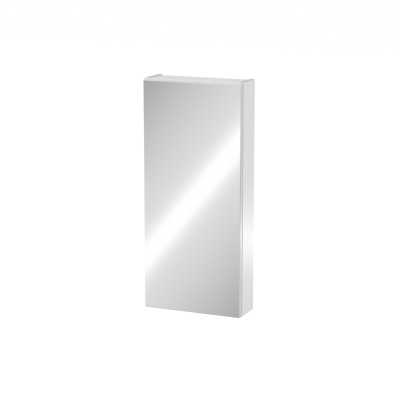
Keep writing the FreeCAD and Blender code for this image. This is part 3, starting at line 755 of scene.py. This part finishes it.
def silveredGlass(settings):
    # bands of depth behind the face: the face itself, the arris, the ground edge and the painted back
    material, tree, place = newMaterial("float glass, silvered")
    depth = addNode(tree, "ShaderNodeSeparateXYZ", {"Vector": place}).outputs["Y"]
    face, back = spanMm("mirror_glass", "Y")
    starts = {"arris": face + settings["skinMm"], "back": back - settings["skinMm"]}
    arrisEnd = starts["arris"] + settings["arrisMm"]
    past = {
        name: addNode(tree, "ShaderNodeMath", {0: depth, 1: at * mm}, operation="GREATER_THAN").outputs[0]
        for name, at in starts.items()
    }
    polished = addNode(
        tree, "ShaderNodeMath", {0: depth, 1: arrisEnd * mm}, operation="LESS_THAN"
    ).outputs[0]
    tones = {}
    for part in ("silver", "edge"):
        scale = perMetre(settings[part + "Mm"])
        cloud = addNode(tree, "ShaderNodeTexNoise", {"Vector": place, "Scale": scale})
        tones[part] = addNode(
            tree,
            "ShaderNodeMix",
            {
                mixShare: cloud.outputs["Fac"],
                mixFirst: linearColour(settings[part]),
                mixSecond: linearColour(settings[part + "Shade"]),
            },
            data_type="RGBA",
        ).outputs[mixResult]
    shine = addNode(
        tree,
        "ShaderNodeMix",
        {mixShare: past["arris"], mixFirst: tones["silver"], mixSecond: linearColour(settings["arris"])},
        data_type="RGBA",
    )
    rim = addNode(
        tree,
        "ShaderNodeMix",
        {mixShare: past["back"], mixFirst: tones["edge"], mixSecond: linearColour(settings["paint"])},
        data_type="RGBA",
    )
    colour = addNode(
        tree,
        "ShaderNodeMix",
        {mixShare: polished, mixFirst: rim.outputs[mixResult], mixSecond: shine.outputs[mixResult]},
        data_type="RGBA",
    )
    roughness = addNode(
        tree,
        "ShaderNodeMapRange",
        {"Value": polished, "To Min": settings["edgeRoughness"], "To Max": settings["faceRoughness"]},
    )
    skin = addNode(
        tree,
        "ShaderNodeBsdfPrincipled",
        {"Base Color": colour.outputs[mixResult], "Metallic": polished, "Roughness": roughness.outputs[0]},
    )
    addNode(tree, "ShaderNodeOutputMaterial", {"Surface": skin.outputs[0]})
    return material


dress(silveredGlass(mirrorGlass), "mirror_glass")

# Shelves: float glass with polished edges, clear through the face and green where seen along the sheet.
shelfGlass = {
    "clear": "#F8FCFA",
    "tint": "#A8E0C8",
    "density": 5.0,
    "streakMm": 40,
    "rough": (0.0, 0.02),
    "ior": 1.52,
    "transmission": 1.0,
}


def floatGlass(settings):
    # absorption along the ray's way gives the green; faint streaks vary the polish
    material, tree, place = newMaterial("float glass, polished")
    streak = addNode(tree, "ShaderNodeTexNoise", {"Vector": place, "Scale": perMetre(settings["streakMm"])})
    roughness = addNode(
        tree,
        "ShaderNodeMapRange",
        {"Value": streak.outputs["Fac"], "To Min": settings["rough"][0], "To Max": settings["rough"][1]},
    )
    skin = addNode(
        tree,
        "ShaderNodeBsdfPrincipled",
        {
            "Base Color": linearColour(settings["clear"]),
            "Transmission Weight": settings["transmission"],
            "IOR": settings["ior"],
            "Roughness": roughness.outputs[0],
        },
    )
    depth = addNode(
        tree,
        "ShaderNodeVolumeAbsorption",
        {"Color": linearColour(settings["tint"]), "Density": settings["density"]},
    )
    addNode(tree, "ShaderNodeOutputMaterial", {"Surface": skin.outputs[0], "Volume": depth.outputs[0]})
    return material


dress(floatGlass(shelfGlass), "lower_glass_shelf", "middle_glass_shelf", "upper_glass_shelf")
print("finishes on")

# Fixings: screws and cams with a cut cross in the head. All lengths in mm, heads facing along "out".
steel = {"slot": "bright_steel", "finish": "bright zinc plate on steel"}
smallCountersunk = {
    **steel, "head": "countersunk", "headRadius": 3.4, "headHeight": 1.6,
    "arm": 1.9, "armWidth": 0.5, "recess": 1.1,
    "shank": 1.75, "pitch": 1.3, "threadDepth": 0.4, "tip": 2.4,
}
camDisc = {
    "slot": "zinc", "finish": "zinc, die cast", "node": "cam_lock_discs", "body": "carcass",
    "head": "cam", "headRadius": 7.5, "headHeight": 12.5, "arm": 4.5, "armWidth": 1.2, "recess": 2.0,
}
fixings = {
    "hingePlateScrews": {
        **steel, "node": "hinge_plate_screws", "body": "carcass", "out": (1, 0, 0),
        "head": "pan", "headRadius": 4.5, "headHeight": 1.8, "arm": 2.5, "armWidth": 0.62, "recess": 1.3,
        "shank": 3.0, "length": 11.0, "pitch": 1.6, "threadDepth": 0.45, "tip": 1.4,
    },
    "hingeClampScrews": {
        **steel, "node": "hinge_clamp_screws", "body": "carcass", "out": (1, 0, 0),
        "head": "pan", "headRadius": 4.2, "headHeight": 2.0, "arm": 2.4, "armWidth": 0.6, "recess": 1.4,
        "shank": 2.5, "length": 8.0, "pitch": 0.8, "threadDepth": 0.3, "tip": 0.5,
    },
    "hingeAdjustingScrews": {
        **steel, "node": "hinge_adjusting_screws", "body": "carcass", "out": (1, 0, 0),
        "head": "grub", "headRadius": 2.8, "headHeight": 2.8, "arm": 1.7, "armWidth": 0.5, "recess": 1.3,
    },
    "hingeCupScrews": {
        **smallCountersunk, "node": "hinge_cup_screws", "body": "door", "out": (0, 1, 0), "length": 10.0,
    },
    "pushLatchScrews": {
        **smallCountersunk, "node": "push_latch_screws", "body": "carcass", "out": (-1, 0, 0), "length": 12.0,
    },
    "strikePlateScrew": {
        **smallCountersunk, "node": "strike_plate_screw", "body": "door", "out": (0, 1, 0), "length": 11.0,
        "headRadius": 3.2, "headHeight": 1.0, "arm": 1.8, "recess": 0.8,
    },
    "hangerAdjustingScrews": {
        **steel, "node": "hanger_adjusting_screws", "body": "carcass", "out": (0, -1, 0),
        "head": "pan", "headRadius": 4.4, "headHeight": 2.2, "arm": 2.6, "armWidth": 0.65, "recess": 1.6,
        "shank": 2.5, "length": 5.5, "pitch": 0.8, "threadDepth": 0.3, "tip": 0.5,
    },
    "upperCamDiscs": {**camDisc, "out": (0, 0, -1), "flushWith": "top_panel"},
    "lowerCamDiscs": {**camDisc, "out": (0, 0, 1), "flushWith": "bottom_panel", "hidesNode": False},
}
headShapes = {  # face above the seat and crown, as shares of the height; depth of the seat below it
    "pan": {"top": 1.0, "crown": 0.45, "seat": 0.0},
    "countersunk": {"top": 0.0, "crown": 0.0, "seat": 1.0},
    "grub": {"top": 1.0, "crown": 0.12, "seat": 0.0},
    "cam": {"top": 0.0, "crown": 0.0, "seat": 1.0},
}
cutting = {
    "armSteps": 3,  # points across half an arm's end, then along its flank to the diagonal
    "flankSteps": 4,
    "leastSine": 1e-6,  # keeps the outline's divisions away from zero
    "floorShare": 0.72,  # recess floor over its mouth
    "lipShare": 1.05,
    "lipDrop": 0.12,
    "faceShares": (0.3, 0.6, 0.85),
    "rimRound": 0.2,
    "seatRound": 0.15,
    "ringsPerTurn": 6,
    "tipShare": 0.25,
    "firstTurn": 0.4,  # each screw stops at its own angle
    "turnStep": 1.1,
    "sharpAngle": 32,
    "partingGap": 5.0,  # points of one node farther apart than this are on different fixings
}


def middles(name, side):
    # the middle of each of a node's solids along one side: its points in order, parted at the wide gaps
    mesh = nodes[name].data
    points = np.empty(3 * len(mesh.vertices), dtype=np.float32)
    mesh.vertices.foreach_get("co", points)
    along = np.sort(points[side::3].astype(float) / mm)
    parts = np.split(along, np.flatnonzero(np.diff(along) > cutting["partingGap"]) + 1)
    return [(part[0] + part[-1]) / 2 for part in parts]


def fixingPlaces(spec):
    # the solids' middles across, and along "out" the level that puts the head's face at the solids' own
    outSide = int(np.flatnonzero(spec["out"])[0])
    sense = spec["out"][outSide]
    ends = spanMm(spec.get("flushWith", spec["node"]), "XYZ"[outSide])
    top = headShapes[spec["head"]]["top"] * spec["headHeight"]
    level = max(ends) - top if sense > 0 else min(ends) + top
    rows = [[level] if side == outSide else middles(spec["node"], side) for side in range(3)]
    return np.stack(np.meshgrid(*rows, indexing="ij"), axis=-1).reshape(-1, 3)


def crossOutline(angle, arm, halfWidth):
    # polar outline of a cross: the farther of two bars' edges, each the nearer of its end and its flank
    cosine = np.maximum(np.abs(np.cos(angle)), cutting["leastSine"])
    sine = np.maximum(np.abs(np.sin(angle)), cutting["leastSine"])
    lying = np.minimum(arm / cosine, halfWidth / sine)
    standing = np.minimum(arm / sine, halfWidth / cosine)
    return np.maximum(lying, standing)


def crossAngles(spec):
    # angles round the axis, closer together at the corners of the cross's arms
    corner = math.atan2(spec["armWidth"], spec["arm"])
    end = np.linspace(0, corner, cutting["armSteps"])
    flank = np.linspace(corner, math.pi / 4, cutting["flankSteps"])
    eighth = np.concatenate([end, flank[1:]])
    quarter = np.concatenate([eighth, math.pi / 2 - eighth[-2:0:-1]])
    return (quarter + np.arange(4).reshape(-1, 1) * math.pi / 2).ravel()


def headRings(spec, angle):
    # rings of radius and height: recess floor, recess mouth, then out over the crowned face to the rim
    cross = crossOutline(angle, spec["arm"], spec["armWidth"])
    ones = np.ones_like(angle)
    radius, tall, form = spec["headRadius"], spec["headHeight"], headShapes[spec["head"]]
    top, seat = form["top"] * tall, -form["seat"] * tall
    face = radius - cutting["rimRound"]

    def dome(r):
        return top - form["crown"] * tall * (r / radius) ** 2

    lip = cutting["lipShare"] * cross
    rings = [
        (cutting["floorShare"] * cross, (top - spec["recess"]) * ones),
        (cross, dome(cross) - cutting["lipDrop"]),
        (lip, dome(lip)),
    ]
    for share in cutting["faceShares"]:
        ring = cross * (1 - share) + face * share
        rings.append((ring, dome(ring)))
    rings.append((face * ones, dome(face) * ones))
    rings.append((radius * ones, (dome(radius) - cutting["rimRound"]) * ones))
    if spec["head"] != "countersunk":
        rings.append((radius * ones, (seat + cutting["seatRound"]) * ones))
        rings.append(((radius - cutting["seatRound"]) * ones, seat * ones))
    return rings, top - spec["recess"], seat


def shankRings(spec, angle, seat):
    # a thread: the radius falls and rises by a cosine of height over pitch plus angle, growing from the seat
    ones = np.ones_like(angle)
    shank, pitch, end = spec["shank"], spec["pitch"], -spec["length"]
    rings = [(shank * ones, seat * ones)]
    for height in np.arange(seat, end + spec["tip"], -pitch / cutting["ringsPerTurn"])[1:]:
        wave = (1 + np.cos(2 * math.pi * height / pitch + angle)) / 2
        fade = min(1, (seat - height) / pitch)
        rings.append((shank - spec["threadDepth"] * (1 - wave) * fade, height * ones))
    rings.append((cutting["tipShare"] * shank * ones, end * ones))
    return rings, end


def fixingShape(spec):
    # all rings turned into points, with a pole at the recess floor and one at the far end
    angle = crossAngles(spec)
    rings, firstPole, lastPole = headRings(spec, angle)
    if "length" in spec:
        more, lastPole = shankRings(spec, angle, lastPole)
        rings += more
    radius = np.array([ring[0] for ring in rings])
    height = np.array([ring[1] for ring in rings])
    grid = np.stack([radius * np.cos(angle), radius * np.sin(angle), height], axis=2).reshape(-1, 3)
    return np.concatenate([grid, [[0, 0, firstPole], [0, 0, lastPole]]]), len(rings), len(angle)


def ringFaces(rings, columns):
    # quads between neighbouring rings, closed round the axis, and a fan of triangles at each pole
    column = np.arange(columns)
    after = (column + 1) % columns
    start = np.arange(rings - 1).reshape(-1, 1) * columns
    below = start + columns
    quads = np.stack([start + column, below + column, below + after, start + after], axis=2)
    last = (rings - 1) * columns
    upper = np.stack([np.full(columns, rings * columns), column, after], axis=1)
    lower = np.stack([np.full(columns, rings * columns + 1), last + after, last + column], axis=1)
    return quads.reshape(-1, 4), np.concatenate([upper, lower])


def makeFixings(name, spec):
    # the shape spun about its axis, turned to face along "out" and moved to each of its places, in one mesh
    shape, rings, columns = fixingShape(spec)
    quads, fans = ringFaces(rings, columns)
    turn = np.array(Vector((0, 0, 1)).rotation_difference(Vector(spec["out"])).to_matrix())
    points, faces = [], []
    for count, place in enumerate(fixingPlaces(spec)):
        spin = Matrix.Rotation(cutting["firstTurn"] + cutting["turnStep"] * count, 3, "Z")
        points.append(shape @ np.array(spin).T @ turn.T + place)
        faces += (quads + count * len(shape)).tolist() + (fans + count * len(shape)).tolist()
    mesh = bpy.data.meshes.new(name)
    mesh.from_pydata((np.concatenate(points) * mm).tolist(), [], faces)
    mesh.shade_smooth()
    mesh.set_sharp_from_angle(angle=math.radians(cutting["sharpAngle"]))
    mesh.materials.append(made[spec["finish"]])
    piece = bpy.data.objects.new(name, mesh)
    scene.collection.objects.link(piece)
    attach(piece, spec["body"])
    if spec.get("hidesNode", True):
        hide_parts(spec["node"])


for name, spec in fixings.items():
    makeFixings(name, spec)
print("fixings made:", len(fixings))
